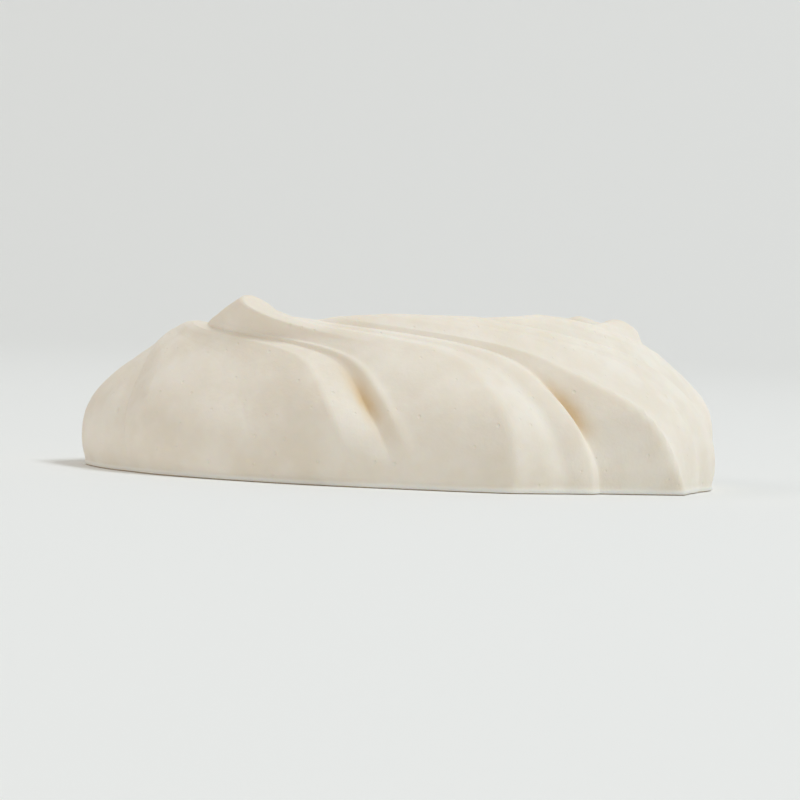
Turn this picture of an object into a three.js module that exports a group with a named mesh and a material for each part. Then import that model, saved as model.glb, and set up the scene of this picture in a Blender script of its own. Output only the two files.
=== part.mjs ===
// A meringue nest: one piece of baked meringue, piped as a ring of overlapping petals round a hollow.
// It stands on its flat baked base. Millimetres and degrees, +Z up, the origin at the centre of the base.
// Azimuth 0 is the front, towards -Y, and azimuths grow anticlockwise as seen from above.

import * as THREE from "three";

// --- Driving sizes ---------------------------------------------------------------------------------------

const BASE_RADIUS = 36.9; // foot of the creases, where the wall meets the base
const BASE_EDGE = 0.6; // rounding between base and wall
const BELLY = { radius: 38.9, height: 7 }; // how far the lower wall is pulled out
const SHOULDER = { radius: 32, height: 14.5 }; // and the upper wall, before it turns in to the rim
const RIM_OUTSIDE = { radius: 28.8, height: 17.6 }; // where the wall ends and the round of the rim begins
const RUN_ON = 0.56; // how far the rim runs on in the wall's direction, as a share of the wall's last pull
const RIM_TOP = { radius: 26.4, height: 19.7 }; // the pull of the rim's round, a little above its crest
const RIM_LEAN = 1.6; // how much further in that pull is than RIM_TOP
const RIM_INSIDE = { radius: 24, height: 17 }; // where the rim turns down into the hollow
const HOLLOW_PULL = { radius: 22.6, height: 12.5 }; // the upper part of the hollow's wall
const HOLLOW_FOOT = { radius: 18, height: 7 }; // and its foot
const FLOOR_EDGE = { radius: 13.5, height: 7.4 }; // where the hollow's floor begins
const FLOOR_CENTRE = 7; // the floor's height on the axis
const FLOOR_PULLS = { outer: 0.7, inner: 0.35, swell: 0.2 }; // shares of that radius, and a gentle swell

const WALL_FOLD = 2.9; // how far a petal's ridge stands out of its crease on the outer wall
const RIM_FOLD = 2.2; // how far a petal's tip stands up from the rim
const HOLLOW_FOLD = 3; // how far a petal stands into the hollow
const FLOOR_FOLD = 0.5; // relief of the petals' tails on the floor

const WALL_TWIST = 19.5; // the folds' lean, clockwise, between the base and the crest
const TWIST_CURVE = 1.5; // 1 is a straight lean, more is one that grows with height
const RIM_DRAG = 44; // how much further the folds are dragged round by the rim
const DRAG_OUTSIDE = 4.4; // lengths along the surface, each side of the crest, in which that happens
const DRAG_INSIDE = 7;
const UNTWIST = 14; // length inside the crest in which the wall's lean is undone
const FLOOR_SWIRL = 70; // how far the petals' tails wind round on the floor
const SWIRL_CURVE = 1.5;

const FULL_HEIGHT = 9; // height above the base at which a fold on the wall has its full depth
const WALL_FADE = { from: 17, to: 3 }; // lengths below the crest between which the wall's folds fade
const WALL_AT_CREST = 0.1; // what is left of them there
const CREST_REACH = 2; // and the length inside the crest in which that is gone too
const RIM_REACH = { outside: 3, inside: 3.5 }; // lengths, down from the crest, that the rim's folds reach
const HOLLOW_RISE = { from: 0.5, to: 6 }; // lengths inside the crest between which the hollow's folds grow
const FREE_HEIGHT = 3; // height above the base below which the folds stand out level

const CRISPNESS = 60; // how sharply a ridge turns
const FALL_WIDTH = 0.12; // share of a petal in which it falls from its ridge to its brink
const LEAN_HEIGHT = 0.4; // share of the height at which a leaning ridge is where the table says
const NARROWEST_FACE = 0.12; // the least share of a petal between its crease and its ridge
const OVERHANG = 0.07; // share of its own width by which a petal leans over the next crease
const OVERHANG_FROM = { from: 0.5, to: 0.95 }; // shares of the petal between which that grows

// A petal's section inside the hollow and at its tip, from its gentle side, measured as in PETALS.
const HOLLOW_SECTION = { curl: 1.1, ridge: 0.68, brink: 0.8, cliff: 0.22 };
const TIP_SECTION = { curl: 2.2, ridge: 0.66, brink: 0.35, cliff: 0.2 };

const CRIMP_WIDTH = 2.4; // degrees to each side of a petal's own shallow crimp
const PIT_WIDTH = 2; // degrees to each side of a crease that its deep pit takes in
const PIT_LENGTH = 2.7; // and millimetres up and down
const LIP_OFFSET = 3.4; // degrees from a pit to the swollen lip beside it
const LIP_WIDTH = 1.4;
const LIP_LENGTH = 6;
const POCKET_WIDTH = 6; // degrees and millimetres that a pocket in the hollow's wall takes in
const POCKET_LENGTH = 3.5;
const POCKET_HEIGHT = 10;

// One row for each petal, with the crease on its clockwise side, anticlockwise from the front left.
//   crease: the crease's azimuth at the base
//   pit, pitHeight: how much deeper the crease is in its pit, and that pit's height above the base
//   lip: how far the lip beside the pit stands out
//   pocket: how much deeper the crease is inside the hollow
//   curl: the rise to the ridge, straight at 1 and more hollow above
//   ridge: the petal's highest line, as a share of the way to the next crease
//   lean: how much further over that line is at the rim than at the base
//   brink: what is left of the height at the top of the steep side
//   cliff: width of the steep side, as a share of the petal
//   crimp, crimpDepth: where the petal has a shallow crimp of its own, and how deep
//   stand, foot: the fold's depth against the usual one, and what is left of that at the base
//   tip: height of the rim's tip against the usual one
const PETALS = [
  {
    crease: -60, pit: 0, pitHeight: 8, lip: 0, pocket: 1.5, curl: 1.1, ridge: 0.45, lean: 0.2,
    brink: 0.35, cliff: 0.45, crimp: 0.3, crimpDepth: 0.1, stand: 0.6, foot: 0.4, tip: 0,
  },
  {
    crease: -26, pit: 0, pitHeight: 9, lip: 0, pocket: 1, curl: 1.7, ridge: 0.7, lean: 0,
    brink: 0.38, cliff: 0.12, crimp: 0.4, crimpDepth: 0.1, stand: 0.8, foot: 0, tip: 0.1,
  },
  {
    crease: 0.2, pit: 0.3, pitHeight: 10, lip: 0.45, pocket: 2, curl: 1.2, ridge: 0.57, lean: 0.15,
    brink: 0.36, cliff: 0.08, crimp: 0.78, crimpDepth: 0.6, stand: 1.4, foot: 0.6, tip: 1.9,
  },
  {
    crease: 40.2, pit: 0.3, pitHeight: 9.2, lip: 0, pocket: 1.2, curl: 1.2, ridge: 0.22, lean: -0.37,
    brink: 0.4, cliff: 0.12, crimp: 0.67, crimpDepth: 0.5, stand: 1.7, foot: 0.8, tip: 0.2,
  },
  {
    crease: 85, pit: 0.5, pitHeight: 5, lip: 0.3, pocket: 2.2, curl: 1.3, ridge: 0.55, lean: 0.2,
    brink: 0.5, cliff: 0.12, crimp: 0.3, crimpDepth: 0.3, stand: 1.2, foot: 0.7, tip: 0.3,
  },
  {
    crease: 123, pit: 0.5, pitHeight: 11, lip: 0, pocket: 0.9, curl: 1.5, ridge: 0.6, lean: 0.1,
    brink: 0.45, cliff: 0.16, crimp: 0.35, crimpDepth: 0.25, stand: 0.9, foot: 0.4, tip: 0.6,
  },
  {
    crease: 166, pit: 0.8, pitHeight: 8, lip: 0.5, pocket: 1.8, curl: 1.1, ridge: 0.46, lean: 0.25,
    brink: 0.45, cliff: 0.12, crimp: 0.7, crimpDepth: 0.45, stand: 1.15, foot: 0.6, tip: 0.8,
  },
  {
    crease: 212, pit: 0.3, pitHeight: 8, lip: 0, pocket: 1.4, curl: 1.6, ridge: 0.56, lean: -0.2,
    brink: 0.4, cliff: 0.2, crimp: 0.28, crimpDepth: 0.2, stand: 0.9, foot: 0.4, tip: 0.5,
  },
  {
    crease: 257, pit: 0.7, pitHeight: 7, lip: 0.4, pocket: 2.1, curl: 1.2, ridge: 0.5, lean: 0.2,
    brink: 0.35, cliff: 0.25, crimp: 0.72, crimpDepth: 0.2, stand: 0.9, foot: 0.6, tip: 0.7,
  },
];

// The whole nest's unevenness: how far it swells with one, two and three waves round, at an azimuth.
const SWELLS = [
  { waves: 1, radius: 0.4, height: 1.2, azimuth: 50 },
  { waves: 2, radius: -0.8, height: 0.25, azimuth: 0 },
  { waves: 3, radius: 0.2, height: 0.2, azimuth: 25 },
];

// Where the mesh has a column: shares of the way from a crease to the ridge, and on to the next crease.
const RISE_SHARES = [0, 0.08, 0.16, 0.3, 0.5, 0.72, 0.9];
const FALL_SHARES = [0, 0.1, 0.25, 0.42, 0.6, 0.76, 0.9, 0.96];
const RIDGE_PASSING = { from: -4, to: 4 }; // lengths past the crest where they pass to the hollow's ridge
const PALE_CREAM = 0xe3d9c8;

// --- The meridian: half of a cut through the nest, without its folds -------------------------------------

const point = (radius, height) => new THREE.Vector2(radius, height);
const place = ({ radius, height }) => point(radius, height);
const line = (from, to) => new THREE.LineCurve(from, to);
const bend = (from, pullOne, pullTwo, to) => new THREE.CubicBezierCurve(from, pullOne, pullTwo, to);

const footInside = point(BASE_RADIUS - BASE_EDGE, 0);
const foot = point(BASE_RADIUS, BASE_EDGE);
const corner = point(BASE_RADIUS, 0);
const rimStart = place(RIM_OUTSIDE);
const rimEnd = place(RIM_INSIDE);
const floorEdge = place(FLOOR_EDGE);
const onward = rimStart.clone().add(rimStart.clone().sub(place(SHOULDER)).multiplyScalar(RUN_ON));
const rimPulls = [onward, point(RIM_TOP.radius - RIM_LEAN, RIM_TOP.height)];
const floorPulls = [
  point(FLOOR_EDGE.radius * FLOOR_PULLS.outer, FLOOR_EDGE.height + FLOOR_PULLS.swell),
  point(FLOOR_EDGE.radius * FLOOR_PULLS.inner, FLOOR_CENTRE),
];

const SPANS = {
  base: { rows: 3, curve: line(point(0, 0), footInside) },
  edge: { rows: 2, curve: bend(footInside, corner, corner, foot) },
  wall: { rows: 18, curve: bend(foot, place(BELLY), place(SHOULDER), rimStart) },
  rim: { rows: 8, curve: bend(rimStart, ...rimPulls, rimEnd) },
  hollow: { rows: 10, curve: bend(rimEnd, place(HOLLOW_PULL), place(HOLLOW_FOOT), floorEdge) },
  floor: { rows: 4, curve: bend(floorEdge, ...floorPulls, point(0, FLOOR_CENTRE)) },
};

// The rows of the mesh: from the middle of the base, out, up, over the rim and in to the floor's middle.
function meridianRows() {
  const rows = [];
  for (const [span, { rows: count, curve }] of Object.entries(SPANS)) {
    for (let n = rows.length ? 1 : 0; n <= count; n++) {
      const at = curve.getPoint(n / count);
      const along = curve.getTangent(n / count);
      rows.push({ span, share: n / count, radius: at.x, height: at.y, normal: point(along.y, -along.x) });
    }
  }
  let length = 0;
  rows.forEach((row, n) => {
    if (n) length += Math.hypot(row.radius - rows[n - 1].radius, row.height - rows[n - 1].height);
    row.length = length;
  });
  const crest = rows.reduce((best, row) => (row.height > best.height ? row : best));
  for (const row of rows) {
    row.fromCrest = row.length - crest.length;
    row.lift = row.height / crest.height;
  }
  return rows;
}

// --- The folds -------------------------------------------------------------------------------------------

const clamp01 = (x) => Math.min(1, Math.max(0, x));
const ease = (from, to, x) => THREE.MathUtils.smoothstep(x, from, to);
const bell = (x, width) => Math.exp(-((x / width) ** 2));

// The least of the values, rounded where two of them meet.
function softMin(...values) {
  const total = values.reduce((sum, value) => sum + Math.exp(-CRISPNESS * value), 0);
  return -Math.log(total) / CRISPNESS;
}

// Height of a petal across its width: a rise to the ridge, a fall that flattens to the brink, and the steep
// side. Its stature is the ridge's height, less than 1 where the ridge has come close to the crease.
function petalSection(share, { curl, ridge, brink, cliff }, stature = 1) {
  const rise = stature * (share / ridge) ** curl;
  const fall = brink + (stature - brink) * Math.exp((ridge - share) / FALL_WIDTH);
  const steep = (brink * (1 - share)) / cliff;
  return clamp01(softMin(rise, fall, steep));
}

// Where a petal's ridge stands on the wall, as a share of the way to the next crease: it leans with height.
function wallRidgeAt({ height }, petal) {
  const lean = petal.lean * (height / RIM_TOP.height - LEAN_HEIGHT);
  return Math.max(petal.ridge + lean, NARROWEST_FACE);
}

// How far the nest swells at an azimuth, as radius or height.
function swell(which, azimuth) {
  const phase = (wave) => wave.waves * THREE.MathUtils.degToRad(azimuth - wave.azimuth);
  return SWELLS.reduce((sum, wave) => sum + wave[which] * Math.cos(phase(wave)), 0);
}

// How far round, clockwise, the folds are at a row from where they stand on the base.
function dragAt({ span, share, lift, fromCrest }) {
  if (fromCrest < 0) return WALL_TWIST * lift ** TWIST_CURVE + RIM_DRAG * bell(fromCrest, DRAG_OUTSIDE);
  const swirl = span === "floor" ? FLOOR_SWIRL * share ** SWIRL_CURVE : 0;
  return WALL_TWIST * (1 - ease(0, UNTWIST, fromCrest)) + RIM_DRAG * bell(fromCrest, DRAG_INSIDE) - swirl;
}

// The columns of the mesh: how far each has climbed to its petal's ridge, and how far it has come down.
function meshColumns() {
  const columns = [];
  PETALS.forEach((petal, n) => {
    const next = PETALS[(n + 1) % PETALS.length];
    const width = (next.crease - petal.crease + 360) % 360;
    for (const climb of RISE_SHARES) columns.push({ petal, next, width, climb, descent: 0 });
    for (const descent of FALL_SHARES) columns.push({ petal, next, width, climb: 1, descent });
  });
  return columns;
}

// The share of the way across its petal at which a column stands: it keeps to the ridge from row to row.
function shareAt({ fromCrest }, { climb, descent }, wallRidge) {
  const passed = ease(RIDGE_PASSING.from, RIDGE_PASSING.to, fromCrest);
  const ridge = THREE.MathUtils.lerp(wallRidge, 1 - HOLLOW_SECTION.ridge, passed);
  return ridge * climb + (1 - ridge) * descent;
}

// Depth, at a share of the way across a petal, of what sits in the creases on its two sides.
function creaseDepth(depthOf, reach, share, { petal, next, width }) {
  return depthOf(petal) * bell(share * width, reach) + depthOf(next) * bell((1 - share) * width, reach);
}

// How much of the wall's, the rim's, the hollow's and the floor's folds a row has.
function foldWeights({ span, share, height, fromCrest }, foot) {
  const outside = fromCrest < 0;
  const inward = span === "floor" ? 1 - share : 1;
  const rising = foot + (1 - foot) * ease(0, FULL_HEIGHT, height);
  const fading = 1 - (1 - WALL_AT_CREST) * ease(-WALL_FADE.from, -WALL_FADE.to, fromCrest);
  return {
    wall: outside ? rising * fading : WALL_AT_CREST * bell(fromCrest, CREST_REACH),
    pits: outside ? 1 : 0,
    rim: bell(fromCrest, outside ? RIM_REACH.outside : RIM_REACH.inside),
    hollow: outside ? 0 : ease(HOLLOW_RISE.from, HOLLOW_RISE.to, fromCrest) * inward ** 2,
    tails: span === "floor" ? 4 * inward * share : 0,
  };
}

// How far the folds move the surface out of the meridian, at a place on a row.
function foldDepth({ height }, column, share, weights, wallSection) {
  const { petal, width } = column;
  const tipSection = petalSection(1 - share, TIP_SECTION);
  const hollowSection = petalSection(1 - share, HOLLOW_SECTION);
  const pitDepth = (side) => side.pit * bell(height - side.pitHeight, PIT_LENGTH);
  const lipHeight = petal.lip * bell(height - petal.pitHeight, LIP_LENGTH);
  const pocketDepth = (side) => side.pocket * bell(height - POCKET_HEIGHT, POCKET_LENGTH);
  const pit = creaseDepth(pitDepth, PIT_WIDTH, share, column);
  const lip = lipHeight * bell(share * width - LIP_OFFSET, LIP_WIDTH);
  const pocket = creaseDepth(pocketDepth, POCKET_WIDTH, share, column);
  const crimp = petal.crimpDepth * bell((share - petal.crimp) * width, CRIMP_WIDTH);
  return (
    weights.wall * (WALL_FOLD * petal.stand * wallSection - crimp) +
    weights.pits * (lip - pit) +
    weights.rim * RIM_FOLD * petal.tip * tipSection +
    weights.hollow * (HOLLOW_FOLD * petal.stand * hollowSection - pocket) +
    weights.tails * FLOOR_FOLD * Math.sin(Math.PI * share) ** 2
  );
}

// The place of a column on a row: the meridian's point, moved by the folds.
function surfacePoint(row, column) {
  const { petal, width } = column;
  const { radius, height, normal, span } = row;
  const ridge = wallRidgeAt(row, petal);
  const share = shareAt(row, column, ridge);
  const weights = foldWeights(row, petal.foot);
  const wallSection = petalSection(share, { ...petal, ridge }, Math.min(ridge / petal.ridge, 1));
  const out = foldDepth(row, column, share, weights, wallSection);

  const leaning = OVERHANG * width * ease(OVERHANG_FROM.from, OVERHANG_FROM.to, share);
  const azimuth = petal.crease + share * width + weights.wall * wallSection * leaning - dragAt(row);
  const onBase = span === "base" || span === "edge";
  const freed = onBase ? 0 : ease(0, FREE_HEIGHT, height - BASE_EDGE);
  const sideways = onBase ? radius / BASE_RADIUS : 1 + (normal.x - 1) * freed;
  const spread = radius + out * sideways + (swell("radius", azimuth) * radius) / BASE_RADIUS;
  const raised = height + out * normal.y * freed + (swell("height", azimuth) * height) / RIM_TOP.height;
  const turn = THREE.MathUtils.degToRad(azimuth - 90);
  return new THREE.Vector3(spread * Math.cos(turn), spread * Math.sin(turn), raised);
}

// --- The closed mesh -------------------------------------------------------------------------------------

// Rows of points round the axis, closed to a single point at each end. Each square is cut along its shorter
// diagonal.
function nestGeometry() {
  const rows = meridianRows();
  const columns = meshColumns();
  const underneath = rows.shift();
  const middle = rows.pop();
  const points = [new THREE.Vector3(0, 0, underneath.height), new THREE.Vector3(0, 0, middle.height)];
  for (const row of rows) for (const column of columns) points.push(surfacePoint(row, column));

  const at = (row, column) => 2 + row * columns.length + (column % columns.length);
  const faces = [];
  for (let c = 0; c < columns.length; c++) {
    faces.push(0, at(0, c + 1), at(0, c));
    for (let r = 0; r + 1 < rows.length; r++) {
      const [a, b, d, e] = [at(r, c), at(r, c + 1), at(r + 1, c + 1), at(r + 1, c)];
      const rising = points[a].distanceTo(points[d]) < points[b].distanceTo(points[e]);
      faces.push(...(rising ? [a, b, d, a, d, e] : [a, b, e, b, d, e]));
    }
    faces.push(at(rows.length - 1, c), at(rows.length - 1, c + 1), 1);
  }
  const geometry = new THREE.BufferGeometry().setFromPoints(points);
  geometry.setIndex(faces);
  geometry.computeVertexNormals();
  return geometry;
}

const nest = new THREE.Group();
const meringue = new THREE.Mesh(
  nestGeometry(),
  new THREE.MeshStandardMaterial({ color: PALE_CREAM, roughness: 0.85, metalness: 0 }),
);
meringue.name = "meringue_nest";
nest.add(meringue);

export default nest;
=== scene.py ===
"""A baked meringue nest on a pale floor: a ring of piped petals that swirl round a shallow hollow.

The nest is one sheet of points, folded by a Geometry Nodes tree that follows the same rule as the solid: a meridian
turned round the axis, and petals that stand out of it between creases. Fine relief and pin-holes follow.
Azimuth 0 is the front, towards -Y, and azimuths grow anticlockwise as seen from above. Lengths are in metres.
"""

import math

import bpy
import numpy as np
from mathutils import Matrix, Vector


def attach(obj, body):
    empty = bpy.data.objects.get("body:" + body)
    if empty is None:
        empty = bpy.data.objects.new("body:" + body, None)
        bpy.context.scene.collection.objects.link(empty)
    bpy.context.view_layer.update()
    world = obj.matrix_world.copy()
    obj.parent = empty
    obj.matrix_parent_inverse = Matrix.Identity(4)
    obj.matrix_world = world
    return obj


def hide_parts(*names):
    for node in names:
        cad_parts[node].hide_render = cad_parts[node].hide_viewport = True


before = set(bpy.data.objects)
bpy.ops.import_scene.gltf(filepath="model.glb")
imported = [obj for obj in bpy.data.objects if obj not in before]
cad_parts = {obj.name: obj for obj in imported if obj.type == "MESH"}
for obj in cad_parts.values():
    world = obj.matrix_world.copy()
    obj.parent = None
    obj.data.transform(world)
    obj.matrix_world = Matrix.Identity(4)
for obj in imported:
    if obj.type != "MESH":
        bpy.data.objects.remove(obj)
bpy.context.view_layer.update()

MM = 0.001

# --- The meridian's sizes, as in the solid: (radius, height) ---------------------------------------------------

BASE_RADIUS = 36.9 * MM
BASE_EDGE = 0.6 * MM
BELLY = (38.9 * MM, 7 * MM)
SHOULDER = (32 * MM, 14.5 * MM)
RIM_OUTSIDE = (28.8 * MM, 17.6 * MM)
RIM_TOP = (26.4 * MM, 19.7 * MM)
RIM_INSIDE = (24 * MM, 17 * MM)
HOLLOW_PULL = (22.6 * MM, 12.5 * MM)
HOLLOW_FOOT = (18 * MM, 7 * MM)
FLOOR_EDGE = (13.5 * MM, 7.4 * MM)
FLOOR_CENTRE = 7 * MM
RUN_ON = 0.56  # share of the wall's last pull by which its line runs on into the rim
RIM_LEAN = 1.6 * MM  # how far inside the top of the rim its second pull is
FLOOR_PULLS = (0.7, 0.35)  # the floor's two pulls, as shares of its radius
FLOOR_BULGE = 0.2 * MM

# --- The folds' sizes, which the tree takes as named inputs. Angles are in degrees ------------------------------

FOLD_SIZES = {
    "Wall Fold": 2.9 * MM,
    "Rim Fold": 2.2 * MM,
    "Hollow Fold": 3 * MM,
    "Floor Fold": 0.5 * MM,
    "Full Height": 9 * MM,
    "Fade Start": 17 * MM,
    "Fade End": 3 * MM,
    "Wall Twist": 19.5,
    "Rim Drag": 44,
    "Drag Outside": 4.4 * MM,
    "Drag Inside": 7 * MM,
    "Floor Swirl": 70,
    "Rim Reach Outside": 3 * MM,
    "Rim Reach Inside": 3.5 * MM,
    "Overhang": 0.07,
    "Crimp Width": 2.4,
    "Pit Width": 2,
    "Pit Length": 2.7 * MM,
    "Lip Offset": 3.4,
    "Lip Width": 1.4,
    "Lip Length": 6 * MM,
    "Pocket Width": 6,
    "Pocket Length": 3.5 * MM,
    "Pocket Height": 10 * MM,
    "Base Lip": 0.25 * MM,
    "Streak Depth": 0.09 * MM,
    "Dimple Depth": 0.12 * MM,
    "Grain Depth": 0.035 * MM,
    "Pinhole Depth": 0.2 * MM,
}

# --- What gives the folds their course and their sections -------------------------------------------------------

TWIST_CURVE = 1.5
SWIRL_CURVE = 1.5
UNTWIST = 14 * MM  # how far inside the crest the wall's twist has gone
LEAN_HEIGHT = 0.4  # share of the rim's height where a leaning ridge is in its place
NARROWEST_FACE = 0.12
OVERHANG_SHARES = (0.5, 0.95)  # where across a petal its steep side starts to hang over, and where it does so fully
FREE_HEIGHT = 3 * MM  # how high above the base the folds are free to stand off the wall at a right angle
JUST_OUTSIDE = -1e-9  # of the crest, so that the crest's own points count as inside
CREST_REACH = 2 * MM
WALL_AT_CREST = 0.1
HOLLOW_RISE = (0.5 * MM, 6 * MM)  # from the crest, where the hollow's folds start, and where they are full
FLOOR_TAIL = 4  # brings the folds' tails to their full height half way across the floor
FALL_WIDTH = 0.12
CRISPNESS = 60
RIM_SECTION = {"curl": 1.1, "ridge": 0.68, "brink": 0.8, "cliff": 0.22}
TIP_SECTION = {"curl": 2.2, "ridge": 0.66, "brink": 0.35, "cliff": 0.2}
BASE_LIP_HEIGHT = 0.35 * MM
BASE_LIP_WIDTH = 0.25 * MM

# One row for each petal, with the crease on its clockwise side, anticlockwise from the front left, as in the solid
PETAL_MEASURES = (
    "crease", "pit", "pit_height", "lip", "pocket", "curl", "ridge", "lean", "brink", "cliff", "crimp",
    "crimp_depth", "stand", "foot", "tip",
)
PETALS = [
    (-60, 0, 8, 0, 1.5, 1.1, 0.45, 0.2, 0.35, 0.45, 0.3, 0.1, 0.6, 0.4, 0),
    (-26, 0, 9, 0, 1, 1.7, 0.7, 0, 0.38, 0.12, 0.4, 0.1, 0.8, 0, 0.1),
    (0.2, 0.3, 10, 0.45, 2, 1.2, 0.57, 0.15, 0.36, 0.08, 0.78, 0.6, 1.4, 0.6, 1.9),
    (40.2, 0.3, 9.2, 0, 1.2, 1.2, 0.22, -0.37, 0.4, 0.12, 0.67, 0.5, 1.7, 0.8, 0.2),
    (85, 0.5, 5, 0.3, 2.2, 1.3, 0.55, 0.2, 0.5, 0.12, 0.3, 0.3, 1.2, 0.7, 0.3),
    (123, 0.5, 11, 0, 0.9, 1.5, 0.6, 0.1, 0.45, 0.16, 0.35, 0.25, 0.9, 0.4, 0.6),
    (166, 0.8, 8, 0.5, 1.8, 1.1, 0.46, 0.25, 0.45, 0.12, 0.7, 0.45, 1.15, 0.6, 0.8),
    (212, 0.3, 8, 0, 1.4, 1.6, 0.56, -0.2, 0.4, 0.2, 0.28, 0.2, 0.9, 0.4, 0.5),
    (257, 0.7, 7, 0.4, 2.1, 1.2, 0.5, 0.2, 0.35, 0.25, 0.72, 0.2, 0.9, 0.6, 0.7),
]
IN_MILLIMETRES = ("pit", "pit_height", "lip", "pocket", "crimp_depth")

# The whole nest's unevenness, in waves round it, each highest at its own azimuth
SWELLS = [
    {"waves": 1, "radius": 0.4 * MM, "height": 1.2 * MM, "azimuth": 50},
    {"waves": 2, "radius": -0.8 * MM, "height": 0.25 * MM, "azimuth": 0},
    {"waves": 3, "radius": 0.2 * MM, "height": 0.2 * MM, "azimuth": 25},
]

ROWS = {"base": 4, "edge": 4, "wall": 76, "rim": 40, "hollow": 44, "floor": 20}
COLUMNS_PER_PETAL = 56
CREASE_CROWDING = 0.55  # how much closer together the columns are at a crease than between creases

# --- Fine relief, and where the finish changes -------------------------------------------------------------------

STREAKS_ROUND = 9
STREAK_LENGTH = 9 * MM
SMOOTH_CREST = 8 * MM  # how far from the crest the streaks come back
DIMPLE_SIZE = 5 * MM
GRAIN_SIZE = 1.1 * MM
PINHOLE_SPACING = 4.2 * MM
PINHOLE_SMALLEST, PINHOLE_SPREAD = 0.05, 0.06  # shares of the spacing
PINHOLE_WALL = (0.4, 1)  # shares of a pin-hole's size, where its wall starts to rise, and where it ends
PINHOLE_LUCK = 0.62  # share of the places for a pin-hole that stay without one
RELIEF_HEIGHTS = (0.3 * MM, 1.6 * MM)  # above the base, where the relief starts, and where it is full

# Pits and pockets are tinted gold by their depth: partly baked colour, partly painted shade that falls in them
PIT_GOLD_AND_SHADE_DEPTH = 0.45 * MM
POCKET_GOLD_AND_SHADE_DEPTH = 2.5 * MM
INNER_RISE = (1 * MM, 11 * MM)  # from the crest, where the hollow's warmer colour (partly baked colour, partly painted bounce light) starts, and where it is full
EDGE_HIGHLIGHT_HEIGHTS = (0.35 * MM, 0.75 * MM)  # above the base, where the painted highlight along the base edge starts to end, and where it has ended
TRAY_START = 0.03 * MM  # how high the browned line is whole
TRAY_HEIGHT, TRAY_SPREAD = 0.09 * MM, 0.12 * MM  # how high it ends, at least, and how much higher it may
TRAY_STRENGTH = 0.8
MOTTLE_SIZE = 9 * MM
MOTTLE_BAND = (0.35, 0.65)
INNER_EVEN, INNER_MOTTLED = 0.75, 0.25  # how much of the hollow's warmer colour (baked colour and painted bounce light) is everywhere, and how much comes and goes
GOLD_SHADE_EVEN, GOLD_SHADE_MOTTLED = 0.7, 0.6
TRAY_MOTTLE_SIZE = 4 * MM
GOLD_SHADE_MOTTLE_SIZE = 2 * MM
CRYSTAL_SIZE = 0.45 * MM
PORE_SPACING = 1.3 * MM
PORE_SHARES = (0.08, 0.2)  # of the spacing, where a pore's wall starts to rise, and where it ends
PORE_LUCK = 0.7
PORE_DEPTH = 1.5  # as deep as this many crystals
BUMP_DISTANCE = 0.08 * MM
CRUST_ROUGHNESS, ROUGHNESS_SPREAD = 0.72, 0.16

# --- Expressions that build node trees ---------------------------------------------------------------------------


class Socket:
    """An output of a node. Sums, products and powers of sockets and numbers add Math nodes to the same tree."""

    def __init__(self, tree, output):
        self.tree = tree
        self.output = output

    def math(self, operation, *others):
        return self.tree.node("ShaderNodeMath", {"operation": operation}, dict(enumerate([self, *others])))

    def __add__(self, other):
        return self.math("ADD", other)

    def __sub__(self, other):
        return self.math("SUBTRACT", other)

    def __rsub__(self, other):
        return self.tree.node("ShaderNodeMath", {"operation": "SUBTRACT"}, {0: other, 1: self})

    def __mul__(self, other):
        return self.math("MULTIPLY", other)

    def __truediv__(self, other):
        return self.math("DIVIDE", other)

    def __pow__(self, other):
        return self.math("POWER", other)

    __radd__ = __add__
    __rmul__ = __mul__

    def also(self, name):
        """Another output of the same node."""
        return Socket(self.tree, self.output.node.outputs[name])


class Tree:
    """A node tree that is written by calls. A node's settings are set first, then its sockets' values or links."""

    def __init__(self, node_tree):
        self.node_tree = node_tree
        node_tree.nodes.clear()

    def node(self, kind, settings=None, values=None, output=0):
        made = self.node_tree.nodes.new(kind)
        for name, value in (settings or {}).items():
            setattr(made, name, value)
        for name, value in (values or {}).items():
            if isinstance(value, Socket):
                self.node_tree.links.new(value.output, made.inputs[name])
            else:
                made.inputs[name].default_value = value
        return Socket(self, made.outputs[output]) if len(made.outputs) else made


def bell(x, width):
    """1 where x is 0, falling away to each side over the width."""
    ratio = x / width
    return (ratio * ratio * -1).math("EXPONENT")


def ease(low, high, x):
    """0 below low, 1 above high, and smooth between."""
    limits = {"Value": x, "From Min": low, "From Max": high}
    return x.tree.node("ShaderNodeMapRange", {"interpolation_type": "SMOOTHSTEP"}, limits)


def soft_min(*values):
    """The least of the values, rounded where two of them meet."""
    total = sum((value * -CRISPNESS).math("EXPONENT") for value in values)
    return total.math("LOGARITHM", math.e) / -CRISPNESS


# --- The sheet of points that the tree folds ---------------------------------------------------------------------


def bend(start, pull_one, pull_two, end):
    """A cubic curve, as a function of the share of the way along it that gives places and directions."""
    points = [np.array(p) for p in (start, pull_one, pull_two, end)]

    def curve(share):
        t = share[:, None]
        weights = ((1 - t) ** 3, 3 * t * (1 - t) ** 2, 3 * t**2 * (1 - t), t**3)
        places = sum(w * p for w, p in zip(weights, points))
        slopes = ((1 - t) ** 2, 2 * t * (1 - t), t**2)
        along = sum(w * (b - a) for w, a, b in zip(slopes, points, points[1:]))
        return places, along / np.linalg.norm(along, axis=1)[:, None]

    return curve


def line(start, end):
    """A straight line, given in the same way."""
    a, b = np.array(start), np.array(end)
    return bend(a, a + (b - a) / 3, a + (b - a) * 2 / 3, b)


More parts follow.
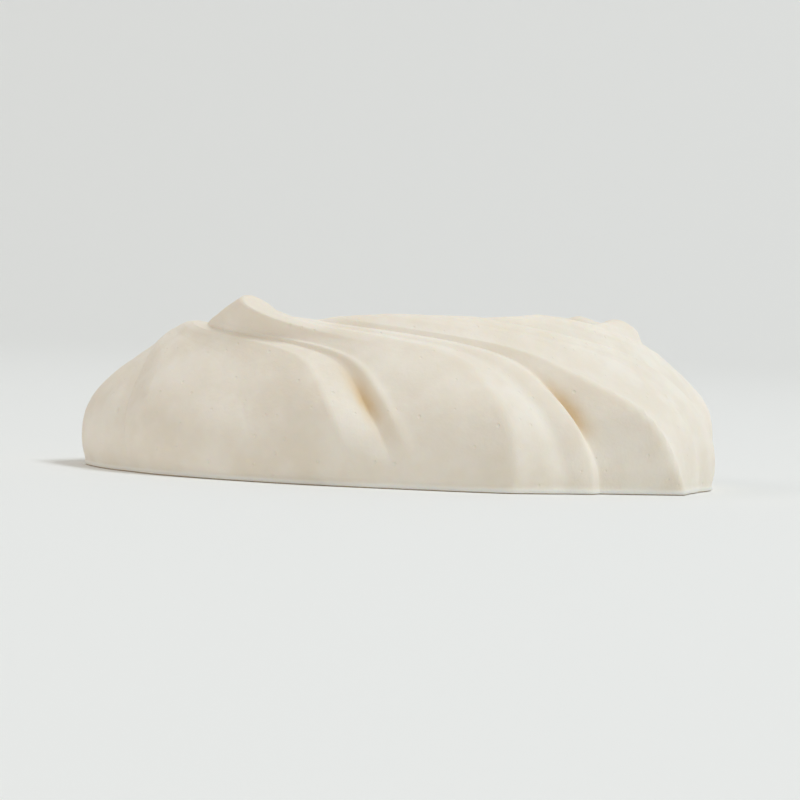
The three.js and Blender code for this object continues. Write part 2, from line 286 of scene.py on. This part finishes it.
def meridian_curves():
    """Each stretch of the meridian by its name, from the middle of the base round to the middle of the floor."""
    foot_inside = (BASE_RADIUS - BASE_EDGE, 0)
    foot = (BASE_RADIUS, BASE_EDGE)
    corner = (BASE_RADIUS, 0)
    onward = [end + (end - pull) * RUN_ON for pull, end in zip(SHOULDER, RIM_OUTSIDE)]
    rim_pulls = [onward, (RIM_TOP[0] - RIM_LEAN, RIM_TOP[1])]
    outer, inner = (FLOOR_EDGE[0] * share for share in FLOOR_PULLS)
    floor_pulls = [(outer, FLOOR_EDGE[1] + FLOOR_BULGE), (inner, FLOOR_CENTRE)]
    return {
        "base": line((0, 0), foot_inside),
        "edge": bend(foot_inside, corner, corner, foot),
        "wall": bend(foot, BELLY, SHOULDER, RIM_OUTSIDE),
        "rim": bend(RIM_OUTSIDE, *rim_pulls, RIM_INSIDE),
        "hollow": bend(RIM_INSIDE, HOLLOW_PULL, HOLLOW_FOOT, FLOOR_EDGE),
        "floor": bend(FLOOR_EDGE, *floor_pulls, (0, FLOOR_CENTRE)),
    }


def meridian_rows():
    """What each row of points measures, as arrays."""
    places, alongs, shares, stretches = [], [], [], []
    for name, curve in meridian_curves().items():
        share = np.linspace(0, 1, ROWS[name] + 1)[1 if places else 0:]
        place, along = curve(share)
        places.append(place)
        alongs.append(along)
        shares.append(share)
        stretches += [name] * len(share)
    place, along, share = np.vstack(places), np.vstack(alongs), np.concatenate(shares)
    stretches = np.array(stretches)
    length = np.concatenate([[0], np.cumsum(np.linalg.norm(np.diff(place, axis=0), axis=1))])
    on_floor = stretches == "floor"
    return {
        "radius": place[:, 0],
        "height": place[:, 1],
        "outward": along[:, 1],
        "upward": -along[:, 0],
        "from_crest": length - length[place[:, 1].argmax()],
        "lift": place[:, 1] / place[:, 1].max(),
        "on_base": np.isin(stretches, ("base", "edge")).astype(float),
        "on_floor": on_floor.astype(float),
        "floor_share": np.where(on_floor, share, 0),
    }


def petal_columns():
    """What each column of points measures, as arrays: its place across its petal, and the petal's own measures."""
    even = np.arange(COLUMNS_PER_PETAL) / COLUMNS_PER_PETAL
    share = even - CREASE_CROWDING * np.sin(2 * math.pi * even) / (2 * math.pi)
    table = np.array(PETALS, float)
    table[:, [PETAL_MEASURES.index(name) for name in IN_MILLIMETRES]] *= MM
    width = np.diff(np.append(table[:, 0], table[0, 0] + 360))
    columns = {name: np.repeat(table[:, n], len(share)) for n, name in enumerate(PETAL_MEASURES)}
    for name in ("pit", "pit_height", "pocket"):
        columns["next_" + name] = np.repeat(np.roll(table[:, PETAL_MEASURES.index(name)], -1), len(share))
    columns["width"] = np.repeat(width, len(share))
    columns["share"] = np.tile(share, len(PETALS))
    return columns


def folding_sheet():
    """The unfolded nest: rows of points round the axis, closed at both ends, each point knowing its measures."""
    rows, columns = meridian_rows(), petal_columns()
    ends = {name: values[[0, -1]] for name, values in rows.items()}
    rows = {name: values[1:-1] for name, values in rows.items()}
    row_count, column_count = len(rows["radius"]), len(columns["share"])
    grid = 2 + np.arange(row_count * column_count).reshape(row_count, column_count)
    around = np.roll(grid, -1, axis=1)
    squares = np.stack([grid[:-1], around[:-1], around[1:], grid[1:]], axis=-1).reshape(-1, 4)
    bottom = [(0, b, a) for a, b in zip(grid[0], around[0])]
    middle = [(a, b, 1) for a, b in zip(grid[-1], around[-1])]
    mesh = bpy.data.meshes.new("meringue_nest_sheet")
    mesh.from_pydata(np.zeros((2 + row_count * column_count, 3)), [], bottom + squares.tolist() + middle)
    for name, values in rows.items():
        store(mesh, name, np.concatenate([ends[name], np.repeat(values, column_count)]))
    for name, values in columns.items():
        store(mesh, name, np.concatenate([values[:1], values[:1], np.tile(values, row_count)]))
    return mesh


def store(mesh, name, values):
    """Writes a number for each point of a mesh."""
    mesh.attributes.new(name, "FLOAT", "POINT").data.foreach_set("value", values.astype(np.float32))


# --- The tree that folds the petals ------------------------------------------------------------------------------


def petal_section(share, curl, ridge, brink, cliff, stature=1):
    """Height of a petal across its width: a rise to the ridge, a flattening fall to the brink, the steep side."""
    rise = (share / ridge) ** curl * stature
    fall = brink + (stature - brink) * ((share - ridge) / -FALL_WIDTH).math("EXPONENT")
    steep = brink * (1 - share) / cliff
    return soft_min(rise, fall, steep).math("MAXIMUM", 0).math("MINIMUM", 1)


def swell(measure, azimuth):
    """How far the nest swells in radius or in height at an azimuth."""
    return sum(
        swells[measure] * ((azimuth - swells["azimuth"]) * math.radians(swells["waves"])).math("COSINE")
        for swells in SWELLS
    )


def nest_tree(material):
    """The tree that folds the sheet into petals and gives it its fine relief."""
    node_tree = bpy.data.node_groups.new("piped_petals", "GeometryNodeTree")
    tree = Tree(node_tree)
    node_tree.interface.new_socket("Geometry", in_out="INPUT", socket_type="NodeSocketGeometry")
    for name in FOLD_SIZES:
        node_tree.interface.new_socket(name, in_out="INPUT", socket_type="NodeSocketFloat")
    node_tree.interface.new_socket("Geometry", in_out="OUTPUT", socket_type="NodeSocketGeometry")
    inputs = tree.node("NodeGroupInput")

    def size(name):
        return inputs.also(name)

    def measure(name):
        return tree.node("GeometryNodeInputNamedAttribute", {"data_type": "FLOAT"}, {"Name": name})

    radius, height, from_crest = measure("radius"), measure("height"), measure("from_crest")
    outward, upward, on_base = measure("outward"), measure("upward"), measure("on_base")
    on_floor, floor_share = measure("on_floor"), measure("floor_share")
    share, width, crease = measure("share"), measure("width"), measure("crease")
    inside = from_crest.math("GREATER_THAN", JUST_OUTSIDE)
    outside = 1 - inside

    # How much of the wall's, the rim's, the hollow's and the floor's folds there is
    inward = 1 - floor_share
    rising = measure("foot") + (1 - measure("foot")) * ease(0, size("Full Height"), height)
    fading = 1 - (1 - WALL_AT_CREST) * ease(size("Fade Start") * -1, size("Fade End") * -1, from_crest)
    wall = outside * rising * fading + inside * WALL_AT_CREST * bell(from_crest, CREST_REACH)
    rim_widening = size("Rim Reach Outside") - size("Rim Reach Inside")
    rim = bell(from_crest, size("Rim Reach Inside") + outside * rim_widening)
    hollow = inside * ease(*HOLLOW_RISE, from_crest) * inward * inward
    tails = on_floor * FLOOR_TAIL * inward * floor_share

    # The petals' sections, and what sits in the creases
    lean = (height / RIM_TOP[1] - LEAN_HEIGHT) * measure("lean")
    ridge = (measure("ridge") + lean).math("MAXIMUM", NARROWEST_FACE)
    stature = (ridge / measure("ridge")).math("MINIMUM", 1)
    wall_section = petal_section(share, measure("curl"), ridge, measure("brink"), measure("cliff"), stature)
    rim_section = petal_section(1 - share, **RIM_SECTION)
    tip_section = petal_section(1 - share, **TIP_SECTION)
    tail_section = (share * math.pi).math("SINE") ** 2

    def in_creases(name, depth, crease_width):
        """Depth, at a place across a petal, of what sits in the creases on its two sides."""
        here = depth("", name) * bell(share * width, crease_width)
        there = depth("next_", name) * bell((1 - share) * width, crease_width)
        return here + there

    def pit_depth(side, name):
        return measure(side + name) * bell(height - measure(side + "pit_height"), size("Pit Length"))

    def pocket_depth(side, name):
        return measure(side + name) * bell(height - size("Pocket Height"), size("Pocket Length"))

    pit = outside * in_creases("pit", pit_depth, size("Pit Width"))
    pocket = hollow * in_creases("pocket", pocket_depth, size("Pocket Width"))
    crimp = measure("crimp_depth") * bell((share - measure("crimp")) * width, size("Crimp Width"))
    across_lip = bell(share * width - size("Lip Offset"), size("Lip Width"))
    lip = across_lip * bell(height - measure("pit_height"), size("Lip Length"))
    out = (
        wall * (size("Wall Fold") * measure("stand") * wall_section - crimp)
        - pit
        + outside * measure("lip") * lip
        + rim * size("Rim Fold") * measure("tip") * tip_section
        + hollow * size("Hollow Fold") * measure("stand") * rim_section
        + outside * size("Base Lip") * bell(height - BASE_LIP_HEIGHT, BASE_LIP_WIDTH)
        - pocket
        + tails * size("Floor Fold") * tail_section
    )

    # How far round the folds are dragged, and the place that all this gives
    twist = size("Wall Twist") * measure("lift") ** TWIST_CURVE
    untwist = size("Wall Twist") * (1 - ease(0, UNTWIST, from_crest))
    swirl = on_floor * size("Floor Swirl") * floor_share**SWIRL_CURVE
    drag_outside = twist + size("Rim Drag") * bell(from_crest, size("Drag Outside"))
    drag_inside = untwist + size("Rim Drag") * bell(from_crest, size("Drag Inside")) - swirl
    drag = outside * drag_outside + inside * drag_inside
    overhang = wall * size("Overhang") * width * wall_section * ease(*OVERHANG_SHARES, share)
    piped = crease + share * width
    azimuth = piped + overhang - drag
    freed = (1 - on_base) * ease(0, FREE_HEIGHT, height - BASE_EDGE)
    sideways = on_base * radius / BASE_RADIUS + (1 - on_base) * (1 + (outward - 1) * freed)
    spread = radius + out * sideways + swell("radius", azimuth) * radius / BASE_RADIUS
    raised = height + out * upward * freed + swell("height", azimuth) * height / RIM_TOP[1]
    turn = (azimuth - 90) * math.radians(1)
    place = {"X": spread * turn.math("COSINE"), "Y": spread * turn.math("SINE"), "Z": raised}

    # What the finish needs to know about each point
    marks = {
        # gold by the depth of pits and pockets: partly baked colour, partly painted shade
        "gold_and_crease_shade": pit / PIT_GOLD_AND_SHADE_DEPTH + pocket / POCKET_GOLD_AND_SHADE_DEPTH,
        # where the hollow's warmer colour goes: partly baked colour, partly painted bounce light
        "inner": inside * ease(*INNER_RISE, from_crest),
    }
    geometry = inputs
    for name, value in marks.items():
        values = {"Geometry": geometry, "Name": name, "Value": value}
        geometry = tree.node("GeometryNodeStoreNamedAttribute", {"data_type": "FLOAT", "domain": "POINT"}, values)
    places = tree.node("ShaderNodeCombineXYZ", None, place)
    folded = tree.node("GeometryNodeSetPosition", None, {"Geometry": geometry, "Position": places})

    # Fine relief, along the folded surface's own normals: soft streaks along the folds, dimples, grain, pin-holes
    ring = piped * math.radians(1)
    course = {
        "X": ring.math("COSINE") * STREAKS_ROUND,
        "Y": ring.math("SINE") * STREAKS_ROUND,
        "Z": from_crest / STREAK_LENGTH,
    }
    along_folds = tree.node("ShaderNodeCombineXYZ", None, course)
    position = tree.node("GeometryNodeInputPosition")

    def noise(vector, scale, detail=2.0):
        """Noise about 0, between -1 and 1."""
        values = {"Vector": vector, "Scale": scale, "Detail": detail, "Roughness": 0.55}
        return (tree.node("ShaderNodeTexNoise", {"noise_dimensions": "3D"}, values) - 0.5) * 2

    spacing = {"Vector": position, "Scale": 1 / PINHOLE_SPACING}
    cells = tree.node("ShaderNodeTexVoronoi", {"feature": "F1"}, spacing)
    luck = tree.node("ShaderNodeSeparateXYZ", None, {"Vector": cells.also("Color")})
    hole_size = PINHOLE_SMALLEST + PINHOLE_SPREAD * luck.also("Y")
    holes = (1 - ease(*PINHOLE_WALL, cells / hole_size)) * luck.math("GREATER_THAN", PINHOLE_LUCK)
    relief = (
        noise(along_folds, 1.0) * size("Streak Depth") * (1 - bell(from_crest, SMOOTH_CREST))
        + noise(position, 1 / DIMPLE_SIZE) * size("Dimple Depth")
        + noise(position, 1 / GRAIN_SIZE, 3.0) * size("Grain Depth")
        - holes * size("Pinhole Depth")
    )
    off_base = (1 - on_base) * ease(*RELIEF_HEIGHTS, height)
    normal = tree.node("GeometryNodeInputNormal")
    offset = tree.node("ShaderNodeVectorMath", {"operation": "SCALE"}, {0: normal, "Scale": relief * off_base})
    roughened = tree.node("GeometryNodeSetPosition", None, {"Geometry": folded, "Offset": offset})
    smooth = tree.node("GeometryNodeSetShadeSmooth", None, {"Geometry": roughened, "Shade Smooth": True})
    realized = tree.node("GeometryNodeRealizeInstances", None, {"Geometry": smooth})
    finished = tree.node("GeometryNodeSetMaterial", None, {"Geometry": realized, "Material": material})
    tree.node("NodeGroupOutput", {"is_active_output": True}, {"Geometry": finished})
    return node_tree


def grown(name, base, node_tree, sizes):
    """The plain mesh object that a Geometry Nodes tree makes of a base mesh, with the sizes as its named inputs."""
    seedling = bpy.data.objects.new(name + "_seedling", base)
    bpy.context.scene.collection.objects.link(seedling)
    modifier = seedling.modifiers.new("grow", "NODES")
    modifier.node_group = node_tree
    sockets = {item.name: item.identifier for item in node_tree.interface.items_tree if item.in_out == "INPUT"}
    for size_name, value in sizes.items():
        modifier[sockets[size_name]] = float(value)
    bpy.context.view_layer.update()
    evaluated = seedling.evaluated_get(bpy.context.evaluated_depsgraph_get())
    mesh = bpy.data.meshes.new_from_object(evaluated)
    mesh.name = name
    bpy.data.objects.remove(seedling)
    piece = bpy.data.objects.new(name, mesh)
    bpy.context.scene.collection.objects.link(piece)
    return piece


# --- Finishes ----------------------------------------------------------------------------------------------------


def colour(red, green, blue):
    """A colour from its usual 0 to 255 values, for a socket."""
    def linear(value):
        value /= 255
        return value / 12.92 if value <= 0.04045 else ((value + 0.055) / 1.055) ** 2.4

    return (linear(red), linear(green), linear(blue), 1)


CREAM = colour(237, 227, 211)
PALE_CREAM = colour(243, 235, 222)
# Warmer colour for the hollow: partly its baked colour, partly painted warm bounce light inside it
HOLLOW_TONE_AND_BOUNCE = colour(236, 216, 182)
TRAY_BROWN = colour(214, 176, 122)
# Gold for the pits and pockets: partly baked colour, partly painted shade in those hollows
GOLD_AND_CREASE_SHADE = colour(218, 182, 120)
# Painted highlight: a whiter colour along the base edge, standing in for the light that catches that edge
EDGE_HIGHLIGHT_WHITE = colour(246, 241, 231)
FLOOR_WHITE = colour(240, 240, 238)


def baked_meringue():
    """Matt sugar crust: off-white, warmer in the hollow (baked colour and painted bounce light), gold in pits and
    pockets (baked colour and painted shade), a painted highlight on the base edge, browned where it met the tray.
    """
    material = bpy.data.materials.new("baked_meringue")
    material.use_nodes = True
    tree = Tree(material.node_tree)
    position = tree.node("ShaderNodeTexCoord").also("Object")
    height = tree.node("ShaderNodeSeparateXYZ", None, {"Vector": position}).also("Z")

    def mark(name):
        return tree.node("ShaderNodeAttribute", {"attribute_name": name}, None, "Fac")

    def noise(scale, detail=3.0):
        values = {"Vector": position, "Scale": scale, "Detail": detail, "Roughness": 0.6}
        return tree.node("ShaderNodeTexNoise", None, values)

    def mix(colour_one, colour_two, amount):
        values = {"Factor": amount, 6: colour_one, 7: colour_two}
        return tree.node("ShaderNodeMix", {"data_type": "RGBA"}, values, 2)

    mottle = ease(*MOTTLE_BAND, noise(1 / MOTTLE_SIZE))
    crust = mix(CREAM, PALE_CREAM, mottle)
    # The hollow is made warmer: partly its baked colour, partly painted bounce light inside the hollow
    hollow = mix(crust, HOLLOW_TONE_AND_BOUNCE, mark("inner") * (INNER_EVEN + INNER_MOTTLED * mottle))
    # Painted highlight: the bottom of the wall is made whiter where light catches the base edge
    edge_highlighted = mix(hollow, EDGE_HIGHLIGHT_WHITE, 1 - ease(*EDGE_HIGHLIGHT_HEIGHTS, height))
    tray_height = TRAY_HEIGHT + TRAY_SPREAD * noise(1 / TRAY_MOTTLE_SIZE)
    browned = mix(edge_highlighted, TRAY_BROWN, (1 - ease(TRAY_START, tray_height, height)) * TRAY_STRENGTH)
    # Painted shade in part: pits and pockets tinted gold by their depth, partly their baked colour
    gold_shade_mottle = GOLD_SHADE_EVEN + GOLD_SHADE_MOTTLED * noise(1 / GOLD_SHADE_MOTTLE_SIZE)
    gold_and_crease_shade = mix(browned, GOLD_AND_CREASE_SHADE, (mark("gold_and_crease_shade") * gold_shade_mottle).math("MINIMUM", 1))

    grain = noise(1 / CRYSTAL_SIZE, 4.0)
    spacing = {"Vector": position, "Scale": 1 / PORE_SPACING}
    pores = tree.node("ShaderNodeTexVoronoi", {"feature": "F1"}, spacing)
    luck = tree.node("ShaderNodeSeparateXYZ", None, {"Vector": pores.also("Color")})
    pore = (1 - ease(*PORE_SHARES, pores)) * luck.math("GREATER_THAN", PORE_LUCK)
    relief = {"Strength": 0.5, "Distance": BUMP_DISTANCE, "Height": grain - pore * PORE_DEPTH}
    crust_sockets = {
        "Base Color": gold_and_crease_shade,
        "Roughness": CRUST_ROUGHNESS + ROUGHNESS_SPREAD * grain,
        "Specular IOR Level": 0.3,
        "Subsurface Weight": 0.35,
        "Subsurface Radius": (1.0, 0.72, 0.42),
        "Subsurface Scale": 1.6 * MM,
        "Normal": tree.node("ShaderNodeBump", None, relief),
    }
    shader = tree.node("ShaderNodeBsdfPrincipled", {"subsurface_method": "RANDOM_WALK"}, crust_sockets)
    tree.node("ShaderNodeOutputMaterial", None, {"Surface": shader})
    return material


def plain(name, base_colour, roughness):
    """An even, matt finish, for the floor."""
    material = bpy.data.materials.new(name)
    material.use_nodes = True
    tree = Tree(material.node_tree)
    shader = tree.node("ShaderNodeBsdfPrincipled", None, {"Base Color": base_colour, "Roughness": roughness})
    tree.node("ShaderNodeOutputMaterial", None, {"Surface": shader})
    return material


# --- Floor, lights and camera ------------------------------------------------------------------------------------


def lay_floor():
    """A wide plain floor that curves up behind the nest, so that no edge shows."""
    reach, bend_start, bend_radius, bend_steps = 3, 0.9, 0.8, 24
    profile = [(-reach, 0)]
    for step in range(bend_steps + 1):
        turn = math.radians(90 * step / bend_steps)
        profile.append((bend_start + bend_radius * math.sin(turn), bend_radius * (1 - math.cos(turn))))
    profile.append((bend_start + bend_radius, reach))
    points = [(x, y, z) for y, z in profile for x in (-reach, reach)]
    faces = [(2 * n, 2 * n + 1, 2 * n + 3, 2 * n + 2) for n in range(len(profile) - 1)]
    mesh = bpy.data.meshes.new("floor")
    mesh.from_pydata(points, [], faces)
    mesh.shade_smooth()
    mesh.materials.append(plain("pale_floor", FLOOR_WHITE, roughness=0.7))
    floor = bpy.data.objects.new("floor", mesh)
    bpy.context.scene.collection.objects.link(floor)


def hang_light(name, place, size, power, tint):
    """A soft square light that faces the nest."""
    light = bpy.data.lights.new(name, "AREA")
    light.size = size
    light.energy = power
    light.color = tint
    lamp = bpy.data.objects.new(name, light)
    lamp.location = place
    lamp.rotation_euler = (Vector((0, 0, 0.01)) - Vector(place)).to_track_quat("-Z", "Y").to_euler()
    bpy.context.scene.collection.objects.link(lamp)


def light_scene():
    """A large soft light above the camera's right, a weak one from the left, and a bright even surrounding."""
    hang_light("softbox", place=(1.37, -0.5, 2.1), size=0.75, power=33, tint=(0.88, 0.95, 1))
    hang_light("fill", place=(-2, -0.7, 1.4), size=1.2, power=10, tint=(1, 0.93, 0.84))
    world = bpy.data.worlds.new("studio")
    world.use_nodes = True
    tree = Tree(world.node_tree)
    surrounding = tree.node("ShaderNodeBackground", None, {"Color": (1, 0.985, 0.96, 1), "Strength": 0.44})
    tree.node("ShaderNodeOutputWorld", None, {"Surface": surrounding})
    bpy.context.scene.world = world


def place_camera():
    """The photograph's view: nearly level with the nest's wall, with the base line sloping down to the right."""
    distance = 0.55
    elevation = math.radians(1.5)
    roll = math.radians(2.3)
    shown_width = 0.1
    aim = Vector((0, 0, 0.0095))
    direction = Vector((0, -math.cos(elevation), math.sin(elevation)))
    camera = bpy.data.cameras.new("camera")
    camera.sensor_width = 36
    camera.lens = camera.sensor_width * distance / shown_width
    camera.clip_start = 0.01
    holder = bpy.data.objects.new("camera", camera)
    turn = (-direction).to_track_quat("-Z", "Y").to_matrix() @ Matrix.Rotation(roll, 3, "Z")
    holder.matrix_world = Matrix.Translation(aim + direction * distance) @ turn.to_4x4()
    bpy.context.scene.collection.objects.link(holder)
    bpy.context.scene.camera = holder


# --- The nest ----------------------------------------------------------------------------------------------------

place_camera()
lay_floor()
light_scene()
bpy.context.scene.view_settings.view_transform = "Standard"

meringue = baked_meringue()
nest = grown("meringue_nest_piped", folding_sheet(), nest_tree(meringue), FOLD_SIZES)
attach(nest, "root")
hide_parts("meringue_nest")
